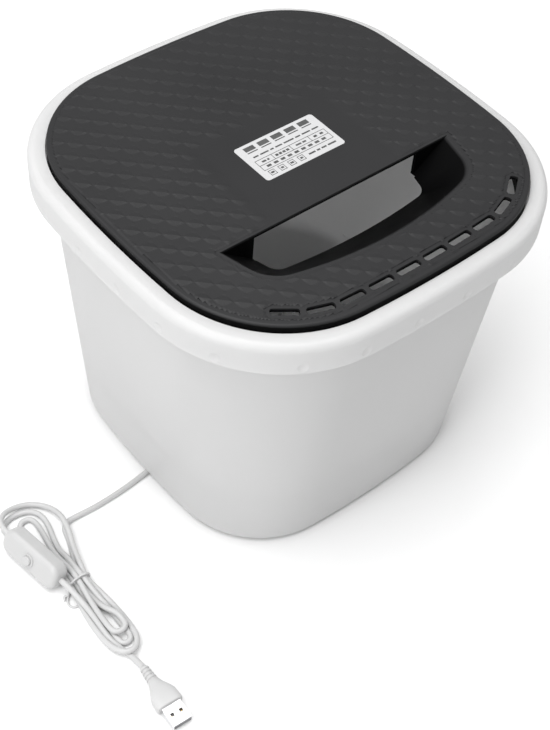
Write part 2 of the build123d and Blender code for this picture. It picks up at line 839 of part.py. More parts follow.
with BuildPart() as cord_hank:
    with BuildSketch() as upper_lobe:
        with Locations((-182, -1)):
            Circle(upper_lobe_radius)
        with Locations((-184, -49.5)):
            Circle(waist_radius)
        make_hull()
        # Room for the in-line switch, which leans on the hank.
        with Locations(Location((-197.5, -22.5), switch_angle)):
            Rectangle(switch_length + 1, 22, mode=Mode.SUBTRACT)
    extrude(amount=hank_height)
    with BuildSketch() as lower_lobe:
        with Locations((-184, -49.5)):
            Circle(waist_radius)
        with Locations((-185.3, -72), (-186, -96)):
            Circle(lower_lobe_radius)
        make_hull()
    extrude(amount=hank_height)
    # Groove that the wire tie pulls into the cord.
    with Locations((tie_centre_x, tie_centre_y, hank_height / 2)):
        Box(60, tie_depth, hank_height, mode=Mode.SUBTRACT)
        Box(tie_width - 2 * tie_band, tie_depth, hank_height - 2 * tie_band)
finish(cord_hank, "cord_hank")

with BuildPart() as wire_tie:
    with Locations((tie_centre_x, tie_centre_y, hank_height / 2)):
        Box(tie_width, tie_depth, hank_height)
        Box(tie_width - 2 * tie_band, tie_depth, hank_height - 2 * tie_band, mode=Mode.SUBTRACT)
finish(wire_tie, "wire_tie")

# ---------------------------------------------------------------- USB plug
plug_along = Vector(-0.06, -0.998, 0).normalized()
plug_plane = Plane(origin=(-188.2, -146.7, 4.1), x_dir=(0, 0, 1), z_dir=plug_along)
boot_length = 20.5
strain_length = 8.0
usb_width = 12.0
usb_height = 4.5
usb_length = 12.6
usb_sheet = 0.35
shell_seat = 8.0
boot_corner = 2.4
# Distance behind the plug's face, thickness and width of each section of the grip.
grip_sections = [(0.0, 8.0, 16.2), (8.5, 8.0, 15.6), (16.5, 6.6, 7.6), (boot_length, 5.6, 6.0)]
strain_radius = (2.9, 2.3)
tongue_thickness = 1.9

with BuildPart() as plug_boot:
    # Wide grip that narrows towards the cord in steps.
    for section_pair in zip(grip_sections, grip_sections[1:]):
        for distance, thickness, width in section_pair:
            with BuildSketch(plug_plane.offset(-distance)):
                RectangleRounded(thickness, width, boot_corner)
        loft()
    with BuildSketch(plug_plane.offset(-boot_length)):
        Circle(strain_radius[0])
    with BuildSketch(plug_plane.offset(-boot_length - strain_length)):
        Circle(strain_radius[1])
    loft()
    # Seat of the metal shell.
    with BuildSketch(plug_plane):
        Rectangle(usb_height, usb_width)
    extrude(amount=-shell_seat, mode=Mode.SUBTRACT)
finish(plug_boot, "plug_boot")

with BuildPart() as plug_shell:
    with BuildSketch(plug_plane.offset(-shell_seat)):
        Rectangle(usb_height, usb_width)
        Rectangle(usb_height - 2 * usb_sheet, usb_width - 2 * usb_sheet, mode=Mode.SUBTRACT)
    extrude(amount=shell_seat + usb_length)
    # Latch windows in both broad sides.
    window_plane = Plane(origin=plug_plane.origin + plug_along * 6.2, x_dir=plug_plane.y_dir, z_dir=(0, 0, 1))
    with BuildSketch(window_plane):
        with GridLocations(5.6, 0, 2, 1):
            Rectangle(2.1, 2.1)
    extrude(amount=5, both=True, mode=Mode.SUBTRACT)
finish(plug_shell, "plug_shell")

with BuildPart() as plug_tongue:
    with BuildSketch(plug_plane.offset(-shell_seat)):
        with Locations((usb_sheet + (tongue_thickness - usb_height) / 2, 0)):
            Rectangle(tongue_thickness, usb_width - 2 * usb_sheet)
    extrude(amount=shell_seat + usb_length - 0.8)
finish(plug_tongue, "plug_tongue")

contact_level = usb_sheet - usb_height / 2 + tongue_thickness
contact_thickness = 0.2
for index, offset_y in enumerate((-3.5, -1.0, 1.0, 3.5), start=1):
    with BuildPart() as plug_contact:
        with BuildSketch(plug_plane.offset(2)):
            with Locations((contact_level + contact_thickness / 2, offset_y)):
                Rectangle(contact_thickness, 1.0)
        extrude(amount=7.5)
    finish(plug_contact, f"plug_contact_{index}")

cord_tube("cord_plug_lead", [
    (-185.2, -104.9, 3.2),
    (-185.8, -111.6, 3.7),
    tuple(plug_plane.origin - plug_along * (boot_length + strain_length)),
])
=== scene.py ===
"""Looks for the turbine-washing bucket: materials, lid weave, label print, lead, wire tie and plug boot.

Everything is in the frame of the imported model: metres, +Z up, z = 0 at the floor.
"""

import json
import math

import bmesh
import bpy
from mathutils import Matrix, Vector
from mathutils.bvhtree import BVHTree
from mathutils.kdtree import KDTree


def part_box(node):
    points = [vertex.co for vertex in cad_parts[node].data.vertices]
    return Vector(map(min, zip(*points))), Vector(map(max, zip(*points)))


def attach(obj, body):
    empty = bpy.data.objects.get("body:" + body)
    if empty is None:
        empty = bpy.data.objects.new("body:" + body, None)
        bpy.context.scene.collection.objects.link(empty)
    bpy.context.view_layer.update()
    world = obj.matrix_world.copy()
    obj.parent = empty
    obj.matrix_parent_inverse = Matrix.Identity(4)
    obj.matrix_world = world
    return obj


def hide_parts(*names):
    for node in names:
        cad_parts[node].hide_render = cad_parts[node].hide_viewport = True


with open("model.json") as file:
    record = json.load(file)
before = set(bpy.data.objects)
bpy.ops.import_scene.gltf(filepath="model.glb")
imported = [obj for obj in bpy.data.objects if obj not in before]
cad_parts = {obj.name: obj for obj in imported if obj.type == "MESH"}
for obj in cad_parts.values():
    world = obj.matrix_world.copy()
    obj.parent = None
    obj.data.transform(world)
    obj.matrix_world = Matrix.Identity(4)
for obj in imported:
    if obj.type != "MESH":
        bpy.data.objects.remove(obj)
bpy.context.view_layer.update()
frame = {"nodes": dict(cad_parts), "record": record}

MM = 0.001
nodes = frame["nodes"]


def link(obj):
    """Put a new object into the scene."""
    bpy.context.scene.collection.objects.link(obj)
    return obj


def mesh_object(name, vertices, faces):
    """A mesh object from lists of points and faces, with outward normals."""
    mesh = bpy.data.meshes.new(name)
    mesh.from_pydata(vertices, [], faces)
    work = bmesh.new()
    work.from_mesh(mesh)
    bmesh.ops.recalc_face_normals(work, faces=work.faces)
    work.to_mesh(mesh)
    work.free()
    return link(bpy.data.objects.new(name, mesh))


def shade_smooth(obj, angle=None):
    """Smooth shading, with edges kept sharp above an angle in degrees."""
    for polygon in obj.data.polygons:
        polygon.use_smooth = True
    if angle is not None:
        obj.data.set_sharp_from_angle(angle=math.radians(angle))


# ---------------------------------------------------------------- camera
CAMERA_AZIMUTH = -41.29
CAMERA_ELEVATION = 48.78
CAMERA_ROLL = 3.8
CAMERA_PLACE = Vector((-0.39966, -0.42689, 0.69494))
LENS = 66.4
SENSOR = 36.0
SHIFT_X = 0.048


def make_camera():
    """Camera at the photograph's viewing angle."""
    azimuth, elevation, roll = (
        math.radians(value) for value in (CAMERA_AZIMUTH, CAMERA_ELEVATION, CAMERA_ROLL)
    )
    back = Vector((
        math.sin(azimuth) * math.cos(elevation),
        -math.cos(azimuth) * math.cos(elevation),
        math.sin(elevation),
    ))
    level = Vector((0, 0, 1)).cross(back).normalized()
    upright = back.cross(level)
    right = level * math.cos(roll) + upright * math.sin(roll)
    up = upright * math.cos(roll) - level * math.sin(roll)
    camera = link(bpy.data.objects.new("camera", bpy.data.cameras.new("camera")))
    camera.matrix_world = Matrix.Translation(CAMERA_PLACE) @ Matrix((right, up, back)).transposed().to_4x4()
    camera.data.lens = LENS
    camera.data.sensor_width = SENSOR
    camera.data.shift_x = SHIFT_X
    bpy.context.scene.camera = camera


make_camera()

# ---------------------------------------------------------------- cords, in millimetres
CORD = 3.5
WIRE = 1.5
SQUEEZED = 3.0                  # between the middles of two strands that the tie presses together
FLOOR = CORD / 2                # height of the middle of a strand on the floor
OVER = FLOOR + CORD             # across a strand that is on the floor
TIED = FLOOR + WIRE             # on the wire of the tie
TIED_OVER = TIED + SQUEEZED     # on a strand that is on the wire

SWITCH_MIDDLE = Vector((-197.0, -22.5, 9.4))
SWITCH_ALONG = Vector((0.15, -0.989, 0.0)).normalized()
SWITCH_HALF = 23.0
SWITCH_TOP = SWITCH_MIDDLE - SWITCH_ALONG * SWITCH_HALF
SWITCH_FOOT = SWITCH_MIDDLE + SWITCH_ALONG * SWITCH_HALF
SWITCH_LEAD = 6.0

# From the gland along the floor, through the hank three times, and into the far end of the switch.
SUPPLY_ROUTE = [
    (-60.0, -4.0, 16.4),
    (-69.5, -4.0, 16.2),
    (-82.5, -4.2, 9.4),
    (-95.0, -5.2, 2.4),
    (-109.0, -7.2, FLOOR),
    (-127.0, -9.0, FLOOR),
    (-146.0, -9.3, FLOOR),
    (-159.5, -8.0, FLOOR),
    (-166.0, -8.2, FLOOR),
    (-169.6, -12.0, FLOOR),
    (-171.0, -18.5, FLOOR),
    (-174.0, -27.0, FLOOR),
    (-178.8, -38.0, FLOOR),
    (-182.3, -49.5, TIED),
    # first fold, which ends on top of the others
    (-183.2, -60.0, 1.9),
    (-183.2, -68.0, 3.2),
    (-181.5, -75.0, OVER),
    (-178.2, -81.0, OVER),
    (-178.2, -89.4, OVER),
    (-180.9, -91.9, OVER),
    (-184.7, -91.9, OVER),
    (-187.4, -89.4, OVER),
    (-187.4, -80.0, OVER),
    (-186.6, -67.0, OVER),
    (-185.2, -57.5, 5.5),
    # inner loop of the upper lobe
    (-184.0, -49.5, TIED_OVER),
    (-183.4, -38.0, 5.2),
    (-184.2, -27.0, 2.8),
    (-183.4, -17.0, FLOOR),
    (-181.0, -4.0, FLOOR),
    (-180.8, 5.1, FLOOR),
    (-183.8, 8.1, FLOOR),
    (-188.0, 8.1, FLOOR),
    (-191.0, 5.1, FLOOR),
    (-190.6, -3.0, FLOOR),
    (-189.0, -14.0, FLOOR),
    (-187.6, -26.0, FLOOR),
    (-185.9, -37.0, FLOOR),
    # second fold, on the floor
    (-185.7, -49.5, TIED),
    (-186.6, -60.0, FLOOR),
    (-187.0, -72.0, FLOOR),
    (-187.0, -84.0, FLOOR),
    (-187.0, -96.1, FLOOR),
    (-184.8, -98.6, FLOOR),
    (-181.6, -98.6, FLOOR),
    (-179.3, -96.1, FLOOR),
    (-179.3, -84.0, FLOOR),
    (-179.3, -71.0, FLOOR),
    (-180.4, -60.0, 3.6),
    # wide loop of the upper lobe, round its end and back behind the switch
    (-180.6, -49.5, TIED_OVER),
    (-180.6, -39.0, 5.6),
    (-180.4, -31.0, 5.3),
    (-180.4, -23.0, FLOOR),
    (-178.6, -14.0, FLOOR),
    (-176.0, -5.0, FLOOR),
    (-174.8, 3.0, FLOOR),
    (-176.8, 10.0, FLOOR),
    (-182.4, 13.8, FLOOR),
    (-189.6, 15.0, FLOOR),
    (-196.0, 14.2, FLOOR),
    (-199.8, 10.0, FLOOR),
    (-199.2, 5.0, FLOOR),
    (-195.4, 1.6, FLOOR),
    (-194.0, -6.0, FLOOR),
    (-192.4, -18.0, FLOOR),
    (-189.2, -37.0, FLOOR),
    # third fold: the outline of the lower lobe, over the plug's lead
    (-189.1, -49.5, TIED),
    (-191.0, -60.0, FLOOR),
    (-193.0, -72.0, FLOOR),
    (-193.9, -86.0, FLOOR),
    (-193.2, -97.0, 3.4),
    (-189.8, -104.8, OVER),
    (-183.4, -106.4, OVER),
    (-178.0, -101.4, 4.4),
    (-175.6, -92.0, FLOOR),
    (-175.7, -76.0, FLOOR),
    (-176.8, -62.0, FLOOR),
    # outline of the upper lobe, over the supply, over the wide loop and down into the switch
    (-178.9, -49.5, TIED),
    (-176.6, -40.0, 5.2),
    (-173.2, -27.0, OVER),
    (-169.6, -18.0, OVER),
    (-167.4, -10.5, OVER),
    (-166.6, -4.0, OVER),
    (-167.4, 4.0, 3.6),
    (-171.2, 12.0, 2.0),
    (-178.0, 17.4, 2.2),
    (-186.4, 18.8, 4.2),
    (-194.0, 17.2, 6.8),
    (-199.8, 12.6, 9.2),
    tuple(SWITCH_TOP - SWITCH_ALONG * SWITCH_LEAD),
    tuple(SWITCH_TOP),
]

# From the near end of the switch, over the tied strands, to the plug's strain relief.
PLUG_ROUTE = [
    tuple(SWITCH_FOOT),
    tuple(SWITCH_FOOT + SWITCH_ALONG * SWITCH_LEAD),
    (-191.4, -58.0, 7.4),
    (-190.4, -66.0, 5.4),
    (-190.4, -75.0, 4.2),
    (-190.5, -84.0, 2.6),
    (-190.6, -92.0, FLOOR),
    (-189.2, -99.0, FLOOR),
    (-187.4, -106.0, FLOOR),
    (-186.6, -112.0, 3.0),
    (-186.49, -118.25, 4.1),
]


def spline_object(name, points, diameter, resolution=10):
    """A round tube on a smooth curve with these control points, given in millimetres."""
    curve = bpy.data.curves.new(name, "CURVE")
    curve.dimensions = "3D"
    spline = curve.splines.new("NURBS")
    spline.points.add(len(points) - 1)
    for control, point in zip(spline.points, points):
        control.co = (*(Vector(point) * MM), 1.0)
    spline.order_u = 3
    spline.use_endpoint_u = True
    spline.resolution_u = resolution
    curve.bevel_depth = diameter / 2 * MM
    curve.bevel_resolution = 6
    curve.use_fill_caps = True
    return link(bpy.data.objects.new(name, curve))


supply_cord = spline_object("supply_cord", SUPPLY_ROUTE, CORD)
plug_cord = spline_object("plug_cord", PLUG_ROUTE, CORD)

# Wire tie: once round the tied strands, then its two ends bent over beside them.
TIE_ROUTE = [
    (-197.0, -53.8, 0.8),
    (-195.9, -50.8, 1.0),
    (-193.8, -52.6, 1.6),
    (-192.0, -50.8, 2.8),
    (-191.7, -49.4, 5.4),
    (-187.0, -49.3, 8.5),
    (-182.3, -49.4, 9.3),
    (-178.0, -49.7, 8.7),
    (-176.3, -49.6, 5.0),
    (-177.2, -49.5, 0.9),
    (-184.0, -49.4, 0.75),
    (-190.6, -49.8, 0.8),
    (-193.0, -52.0, 1.0),
    (-195.6, -54.4, 0.8),
    (-197.0, -57.6, 0.8),
    (-195.2, -61.0, 0.8),
    (-192.6, -61.2, 0.8),
]
wire_tie = spline_object("bent_wire_tie", TIE_ROUTE, WIRE)

# ---------------------------------------------------------------- plug boot
PLUG_FACE = Vector((-188.2, -146.7, 4.1))
PLUG_ALONG = Vector((-0.06, -0.998, 0.0)).normalized()
PLUG_ACROSS = PLUG_ALONG.cross(Vector((0, 0, 1)))
# Distance behind the shell's face, width, height and squareness of each section.
BOOT_SECTIONS = [
    (0.0, 15.4, 7.2, 4.0),
    (0.3, 16.0, 7.8, 4.0),
    (1.2, 16.2, 8.0, 4.0),
    (4.5, 16.1, 8.0, 4.0),
    (7.6, 15.6, 7.9, 3.8),
    (9.6, 14.2, 7.7, 3.4),
    (11.8, 12.0, 7.3, 3.0),
    (14.0, 9.6, 6.9, 2.6),
    (16.5, 7.6, 6.4, 2.4),
    (18.6, 6.4, 5.8, 2.2),
]
RIB_COUNT = 4
RIB_PITCH = 2.3
RIB_FOOT = 19.2
RIB_HEIGHT = 0.5
RIB_PROFILE = ((0.0, 0.0), (0.25, RIB_HEIGHT), (1.15, RIB_HEIGHT), (1.4, 0.0))
TAIL_CORE = 5.4
TAIL_TAPER = 0.3                # less core from each rib to the next
TAIL_END = 28.5
TAIL_END_WIDTH = 4.2
TAIL_END_CHAMFER = 0.3
TAIL_MOUTH_WIDTH = 3.8
ROUND = 2.0                     # squareness of a round section
SECTION_POINTS = 40


def boot_sections():
    """The grip's sections, then ribs on a tapering tail."""
    sections = list(BOOT_SECTIONS)
    for rib in range(RIB_COUNT):
        start = RIB_FOOT + rib * RIB_PITCH
        core = TAIL_CORE - TAIL_TAPER * rib
        for offset, height in RIB_PROFILE:
            sections.append((start + offset, core + 2 * height, core + 2 * height, ROUND))
    sections.append((TAIL_END - TAIL_END_CHAMFER, TAIL_END_WIDTH, TAIL_END_WIDTH, ROUND))
    sections.append((TAIL_END, TAIL_MOUTH_WIDTH, TAIL_MOUTH_WIDTH, ROUND))
    return sections


def make_boot():
    """Plug boot lofted through its sections, closed at both ends."""
    vertices = []
    sections = boot_sections()
    for distance, width, height, power in sections:
        middle = PLUG_FACE - PLUG_ALONG * distance
        for index in range(SECTION_POINTS):
            angle = 2 * math.pi * index / SECTION_POINTS
            c, s = math.cos(angle), math.sin(angle)
            across = math.copysign(abs(c) ** (2 / power), c) * width / 2
            upward = math.copysign(abs(s) ** (2 / power), s) * height / 2
            point = middle + PLUG_ACROSS * across + Vector((0, 0, upward))
            vertices.append(tuple(point * MM))
    faces = []
    for ring in range(len(sections) - 1):
        for index in range(SECTION_POINTS):
            after = (index + 1) % SECTION_POINTS
            a, b = ring * SECTION_POINTS, (ring + 1) * SECTION_POINTS
            faces.append((a + index, a + after, b + after, b + index))
    faces.append(tuple(range(SECTION_POINTS)))
    last = (len(sections) - 1) * SECTION_POINTS
    faces.append(tuple(last + index for index in range(SECTION_POINTS)))
    boot = mesh_object("ribbed_boot", vertices, faces)
    shade_smooth(boot, 50)
    return boot


plug_boot = make_boot()

# ---------------------------------------------------------------- lid weave
CELL = 7.5 * MM
CELL_STEPS = 6
RELIEF = 0.8 * MM
FLAT_LEVEL = 0.5                # height of a flat cell, as a share of the relief
RAMP = 0.9
EDGE_CLEAR = 1.3 * MM
EDGE_FADE = 1.8 * MM
EDGE_SPACING = 0.4 * MM         # between the samples along the edges
SKIN = 0.5 * MM
SUNK = 0.02 * MM                # below the lid's top, where no weave is left
LEVEL = 0.05 * MM               # how close to its top still counts as the lid's flat face
RAY_START = 10 * MM
PLAIN_SIDES = 15.0 * MM         # plain margins round the label
PLAIN_FRONT = 2.2 * PLAIN_SIDES
PLAIN_BACK = 0.7 * PLAIN_SIDES
PLAIN_FADE = 9.0 * MM


def smooth_step(value):
    """0 below 0, 1 above 1, and smooth between."""
    value = min(1.0, max(0.0, value))
    return value * value * (3 - 2 * value)


def is_raised(i, j):
    """Whether a grid square, by its lower corner, lies in a raised cell; every other cell is raised."""
    return (i // CELL_STEPS + j // CELL_STEPS) % 2 == 0


def cell_height(i, j):
    """Height, from 0 to 1, at a grid point: raised cells fold along one diagonal, the others stay flat."""
    u, v = i % CELL_STEPS / CELL_STEPS, j % CELL_STEPS / CELL_STEPS
    if u == 0 or v == 0 or not is_raised(i, j):
        return FLAT_LEVEL
    return 1 - RAMP * abs(u + v - 1)


def top_boundary(lid_mesh, top):
    """Sampled edges of the lid's flat top face, as a tree for distances."""
    uses = {}
    for polygon in lid_mesh.polygons:
        if polygon.normal.z > 0.99 and abs(polygon.center.z - top) < LEVEL:
            for key in polygon.edge_keys:
                uses[key] = uses.get(key, 0) + 1
    samples = []
    for (a, b), count in uses.items():
        if count == 1:
            start, end = lid_mesh.vertices[a].co, lid_mesh.vertices[b].co
            pieces = max(1, math.ceil((end - start).length / EDGE_SPACING))
            samples += [start.lerp(end, piece / pieces) for piece in range(pieces)]
    tree = KDTree(len(samples))
    for index, sample in enumerate(samples):
        tree.insert(sample, index)
    tree.balance()
    return tree


def plain_share(x, y):
    """How much of the weave is left near the label and the hand-hold's far edge, from 0 to 1."""
    low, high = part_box("rating_label")
    outside_x = max(low.x - PLAIN_SIDES - x, x - high.x - PLAIN_SIDES, 0.0)
    outside_y = max(low.y - PLAIN_FRONT - y, y - high.y - PLAIN_BACK, 0.0)
    return smooth_step(math.hypot(outside_x, outside_y) / PLAIN_FADE)


def weave_heights(lid, step):
    """Height of the skin at each grid point that lies on the lid's flat top, clear of its edges."""
    low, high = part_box("lid")
    top = high.z
    edges = top_boundary(lid, top)
    surface = BVHTree.FromPolygons([v.co for v in lid.vertices], [tuple(p.vertices) for p in lid.polygons])
    heights = {}
    for i in range(math.floor(low.x / step), math.ceil(high.x / step) + 1):
        for j in range(math.floor(low.y / step), math.ceil(high.y / step) + 1):
            x, y = i * step, j * step
            place, _, _, _ = surface.ray_cast(Vector((x, y, top + RAY_START)), Vector((0, 0, -1)))
            if place is None or abs(place.z - top) > LEVEL:
                continue
            _, _, gap = edges.find(Vector((x, y, top)))
            if gap < EDGE_CLEAR:
                continue
            share = smooth_step((gap - EDGE_CLEAR) / EDGE_FADE) * plain_share(x, y)
            heights[i, j] = top + RELIEF * cell_height(i, j) * share if share > 0 else top - SUNK
    return heights


def weave_faces(heights, top):
    """Faces of the skin: its upper side, its lower side and the wall round its rim."""
    upper = {key: index for index, key in enumerate(heights)}
    count = len(upper)
    faces, rim = [], {}
    for i, j in heights:
        corners = [(i, j), (i + 1, j), (i + 1, j + 1), (i, j + 1)]
        if not all(corner in upper for corner in corners):
            continue
        if all(heights[corner] < top for corner in corners):
            continue
        turned = corners[1:] + corners[:1] if is_raised(i, j) else corners
        a, b, c, d = (upper[corner] for corner in turned)
        faces += [(a, b, c), (a, c, d)]
        a, b, c, d = (upper[corner] + count for corner in turned)
        faces += [(a, c, b), (a, d, c)]
        for start, end in zip(corners, corners[1:] + corners[:1]):
            if (end, start) in rim:
                del rim[end, start]
            else:
                rim[start, end] = True
    for start, end in rim:
        a, b = upper[start], upper[end]
        faces.append((a, a + count, b + count, b))
    return faces


def make_weave():
    """Embossed skin on the lid's top: a closed sheet whose upper side carries the folded grid."""
    step = CELL / CELL_STEPS
    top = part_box("lid")[1].z
    heights = weave_heights(nodes["lid"].data, step)
    faces = weave_faces(heights, top)
    vertices = [(i * step, j * step, z) for (i, j), z in heights.items()]
    vertices += [(i * step, j * step, top - SKIN) for i, j in heights]
    used = sorted({index for face in faces for index in face})
    place = {old: new for new, old in enumerate(used)}
    return mesh_object(
        "lid_weave",
        [vertices[index] for index in used],
        [tuple(place[index] for index in face) for face in faces],
    )


lid_weave = make_weave()

# ---------------------------------------------------------------- label print
INK = 0.04 * MM                 # half the thickness of the print
# The layout is in shares of the label's width and depth.
RULE = 0.006
TITLE_BLOCKS = 5
TITLE_LEFT = 0.09
TITLE_PITCH = 0.172
TITLE_WIDTH = 0.125
TITLE_BLOCK = (0.815, 0.93)
TITLE_BAR = (0.76, 0.785)
# Left and right end, middle, height, widths of the words and the gap between them.
TEXT_ROWS = [
    (0.10, 0.93, 0.635, 0.035, (3, 5, 2, 4, 6, 3, 5, 4), 0.022),
    (0.13, 0.22, 0.457, 0.045, (2, 1), 0.015),
    (0.30, 0.47, 0.457, 0.055, (1, 1, 1, 1), 0.012),
    (0.56, 0.69, 0.457, 0.04, (3, 2), 0.015),
    (0.79, 0.91, 0.457, 0.05, (1, 1), 0.04),
    (0.13, 0.88, 0.315, 0.055, (1, 1, 1, 1, 1, 1, 1, 1, 1), 0.035),
    (0.58, 0.93, 0.135, 0.04, (4, 2, 3, 5), 0.02),
]
TABLE_LEFT, TABLE_RIGHT = 0.07, 0.95
TABLE_FOOT, TABLE_MIDDLE, TABLE_HEAD = 0.245, 0.385, 0.53
TABLE_DIVIDERS = (0.27, 0.50, 0.74)
SYMBOLS = 4
SYMBOL_LEFT = 0.085
SYMBOL_PITCH = 0.122
SYMBOL_WIDTH = 0.072
SYMBOL_FOOT, SYMBOL_HEAD = 0.07, 0.205
SYMBOL_MARGIN = 0.045
SYMBOL_INSETS = (0.016, 0.020)


def make_print():
    """Generic print on the label: blocks and bars for a title and text, a ruled table and plain symbols."""
    low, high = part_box("rating_label")
    width, depth, level = high.x - low.x, high.y - low.y, high.z
    vertices, faces = [], []

    def bar(left, right, bottom, top_edge):
        """A thin printed rectangle."""
        base = len(vertices)
        for z in (level - INK, level + INK):
            for u, v in ((left, bottom), (right, bottom), (right, top_edge), (left, top_edge)):
                vertices.append((low.x + u * width, low.y + v * depth, z))
        faces.extend([
            (base, base + 3, base + 2, base + 1),
            (base + 4, base + 5, base + 6, base + 7),
        ])
        for side in range(4):
            after = (side + 1) % 4
            faces.append((base + side, base + after, base + 4 + after, base + 4 + side))

    def row(left, right, middle, height, words, gap):
        """A line of text as bars of uneven length."""
        scale = (right - left - gap * (len(words) - 1)) / sum(words)
        place = left
        for word in words:
            bar(place, place + word * scale, middle - height / 2, middle + height / 2)
            place += word * scale + gap

    for block in range(TITLE_BLOCKS):
        left = TITLE_LEFT + TITLE_PITCH * block
        bar(left, left + TITLE_WIDTH, *TITLE_BLOCK)
        bar(left, left + TITLE_WIDTH, *TITLE_BAR)
    for text_row in TEXT_ROWS:
        row(*text_row)
    for line in (TABLE_HEAD, TABLE_MIDDLE, TABLE_FOOT):
        bar(TABLE_LEFT, TABLE_RIGHT, line - RULE, line + RULE)
    for upright in (TABLE_LEFT, TABLE_RIGHT):
        bar(upright - RULE / 2, upright + RULE / 2, TABLE_FOOT, TABLE_HEAD)
    for divider in TABLE_DIVIDERS:
        bar(divider - RULE / 2, divider + RULE / 2, TABLE_MIDDLE, TABLE_HEAD)
    for symbol in range(SYMBOLS):
        left = SYMBOL_LEFT + SYMBOL_PITCH * symbol
        right = left + SYMBOL_WIDTH
        bar(left, right, SYMBOL_FOOT, SYMBOL_FOOT + 2 * RULE)
        bar(left, right, SYMBOL_HEAD - 2 * RULE, SYMBOL_HEAD)
        bar(left, left + RULE, SYMBOL_FOOT, SYMBOL_HEAD)
        bar(right - RULE, right, SYMBOL_FOOT, SYMBOL_HEAD)
        inset = SYMBOL_INSETS[symbol % 2]
        bar(left + inset, right - inset, SYMBOL_FOOT + SYMBOL_MARGIN, SYMBOL_HEAD - SYMBOL_MARGIN)
    return mesh_object("label_print", vertices, faces)


label_print = make_print()

# ---------------------------------------------------------------- materials
NOISE_LOW, NOISE_HIGH = 0.3, 0.7    # the span that most of a noise texture's values lie in


def new_material(name):
    """An empty node material with a Principled shader and object coordinates."""
    material = bpy.data.materials.new(name)
    material.use_nodes = True
    tree = material.node_tree
    shader = tree.nodes["Principled BSDF"]
    place = tree.nodes.new("ShaderNodeTexCoord").outputs["Object"]
    return material, tree, shader, place


def add_noise(tree, place, scale, detail=3.0, stretch=(1, 1, 1)):
    """Noise texture at a scale, with the coordinates stretched per axis."""
    mapping = tree.nodes.new("ShaderNodeMapping")
    mapping.inputs["Scale"].default_value = stretch
    tree.links.new(place, mapping.inputs["Vector"])
    noise = tree.nodes.new("ShaderNodeTexNoise")
    noise.inputs["Scale"].default_value = scale
    noise.inputs["Detail"].default_value = detail
    tree.links.new(mapping.outputs["Vector"], noise.inputs["Vector"])
    return noise.outputs["Fac"]


def add_range(tree, value, low, high):
    """The value, spread from its usual span to low..high."""
    node = tree.nodes.new("ShaderNodeMapRange")
    node.inputs["From Min"].default_value = NOISE_LOW
    node.inputs["From Max"].default_value = NOISE_HIGH
    node.inputs["To Min"].default_value = low
    node.inputs["To Max"].default_value = high
    tree.links.new(value, node.inputs["Value"])
    return node.outputs["Result"]


def add_colours(tree, value, first, second):
    """A colour between two, by the value."""
    ramp = tree.nodes.new("ShaderNodeValToRGB")
    ramp.color_ramp.elements[0].position = NOISE_LOW
    ramp.color_ramp.elements[0].color = (*first, 1)
    ramp.color_ramp.elements[1].position = NOISE_HIGH
    ramp.color_ramp.elements[1].color = (*second, 1)
    tree.links.new(value, ramp.inputs["Fac"])
    return ramp.outputs["Color"]


def add_bump(tree, shader, value, strength, distance):
    """Bump from a value onto the shader's normal."""
    bump = tree.nodes.new("ShaderNodeBump")
    bump.inputs["Strength"].default_value = strength
    bump.inputs["Distance"].default_value = distance
    tree.links.new(value, bump.inputs["Height"])
    tree.links.new(bump.outputs["Normal"], shader.inputs["Normal"])


def moulded(name, first, second, rough, grain=900.0, bump=0.15, cloud=9.0):
    """Moulded plastic or rubber: cloudy colour, uneven gloss and a fine surface grain."""
    material, tree, shader, place = new_material(name)
    clouds = add_noise(tree, place, cloud)
    tree.links.new(add_colours(tree, clouds, first, second), shader.inputs["Base Color"])
    smears = add_noise(tree, place, cloud * 4, 5.0)
    tree.links.new(add_range(tree, smears, *rough), shader.inputs["Roughness"])
    add_bump(tree, shader, add_noise(tree, place, grain, 2.0), bump, 0.05 * MM)
    return material


def let_light_through(material, colour, share):
    """Mix in light that passes through the wall, as thin unfilled plastic does."""
    tree = material.node_tree
    shader = tree.nodes["Principled BSDF"]
    output = tree.nodes["Material Output"]
    through = tree.nodes.new("ShaderNodeBsdfTranslucent")
    through.inputs["Color"].default_value = (*colour, 1)
    mix = tree.nodes.new("ShaderNodeMixShader")
    mix.inputs["Fac"].default_value = share
    tree.links.new(shader.outputs["BSDF"], mix.inputs[1])
    tree.links.new(through.outputs["BSDF"], mix.inputs[2])
    tree.links.new(mix.outputs["Shader"], output.inputs["Surface"])


def paint_recess_shade(material, foot, head, shaded_share, sheen_level):
    """Painted shade in deep recesses: scale the colour and the sheen down to the least share below a
    height.
    """
    tree = material.node_tree
    shader = tree.nodes["Principled BSDF"]
    place = next(node for node in tree.nodes if node.type == "TEX_COORD").outputs["Object"]
    split = tree.nodes.new("ShaderNodeSeparateXYZ")
    tree.links.new(place, split.inputs["Vector"])
    # painted shade: the share of colour and sheen left, from the least share below the foot to all of it
    # above the head
    painted_shade = tree.nodes.new("ShaderNodeMapRange")
    painted_shade.inputs["From Min"].default_value = foot
    painted_shade.inputs["From Max"].default_value = head
    painted_shade.inputs["To Min"].default_value = shaded_share
    tree.links.new(split.outputs["Z"], painted_shade.inputs["Value"])
    colour = shader.inputs["Base Color"].links[0].from_socket
    scale = tree.nodes.new("ShaderNodeVectorMath")
    scale.operation = "SCALE"
    tree.links.new(colour, scale.inputs["Vector"])
    tree.links.new(painted_shade.outputs["Result"], scale.inputs["Scale"])
    tree.links.new(scale.outputs["Vector"], shader.inputs["Base Color"])
    sheen = tree.nodes.new("ShaderNodeMath")
    sheen.operation = "MULTIPLY"
    sheen.inputs[1].default_value = sheen_level
    tree.links.new(painted_shade.outputs["Result"], sheen.inputs[0])
    tree.links.new(sheen.outputs["Value"], shader.inputs["Specular IOR Level"])


